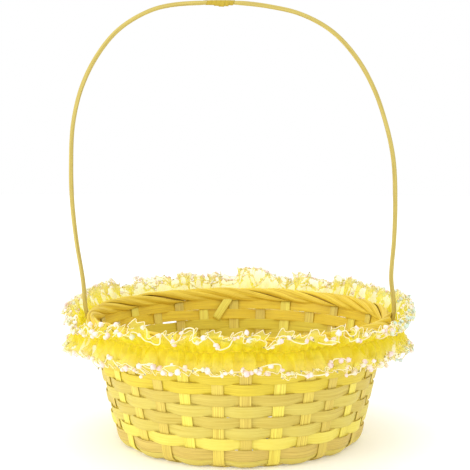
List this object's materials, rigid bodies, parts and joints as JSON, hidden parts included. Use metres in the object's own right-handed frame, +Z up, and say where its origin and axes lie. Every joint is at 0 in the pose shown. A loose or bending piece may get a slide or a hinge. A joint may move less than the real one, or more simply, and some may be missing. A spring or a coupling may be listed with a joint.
{
  "type": "easter basket",
  "caption": "Round woven splint basket with a tall fixed cane handle and a gathered, bead-edged ribbon trim, for carrying and showing small goods.",
  "frame": {"origin": "middle of the basket's footprint, on the surface it stands on", "axes": "+Z up along the basket's axis; the handle stands in the XZ plane, its feet at +X and -X"},
  "size_m": [0.2994, 0.2994, 0.3708],
  "materials": {
    "split": "satin",
    "wall_strip": "satin",
    "base_strip": "satin",
    "rim": "satin",
    "cane": "satin",
    "binding": "satin",
    "organza": "sheer",
    "thread": "satin",
    "bead": "gloss"
  },
  "bodies": {
    "root": {"base_split_x1": "split", "base_split_x2": "split", "base_split_x3": "split", "base_split_x4": "split", "base_split_x5": "split", "base_split_x6": "split", "base_split_x7": "split", "base_split_y1": "split", "base_split_y2": "split", "base_split_y3": "split", "base_split_y4": "split", "base_split_y5": "split", "base_split_y6": "split", "base_split_y7": "split", "base_split_y8": "split", "base_row_1": "base_strip", "base_row_2": "base_strip", "base_row_3": "base_strip", "base_row_4": "base_strip", "wall_row_1": "wall_strip", "wall_row_2": "wall_strip", "wall_row_3": "wall_strip", "wall_row_4": "wall_strip", "wall_row_5": "wall_strip", "wall_row_6": "wall_strip", "wall_row_7": "wall_strip", "wall_row_8": "wall_strip", "wall_row_9": "wall_strip", "wall_row_10": "wall_strip", "rim_core_hoop": "rim", "rim_band_1": "rim", "rim_band_2": "rim", "rim_band_3": "rim", "rim_band_4": "rim", "rim_band_5": "rim", "rim_band_6": "rim", "rim_band_7": "rim", "rim_band_8": "rim", "rim_band_9": "rim", "rim_band_10": "rim", "rim_band_11": "rim", "rim_band_12": "rim", "rim_band_13": "rim", "rim_band_14": "rim", "rim_band_15": "rim", "handle_cane_left": "cane", "handle_cane_right": "cane", "splice_binding": "binding", "ruffle_ribbon": "organza", "gather_thread": "thread", "upper_bead_thread": "thread", "lower_bead_thread": "thread"}
  },
  "joints": []
}
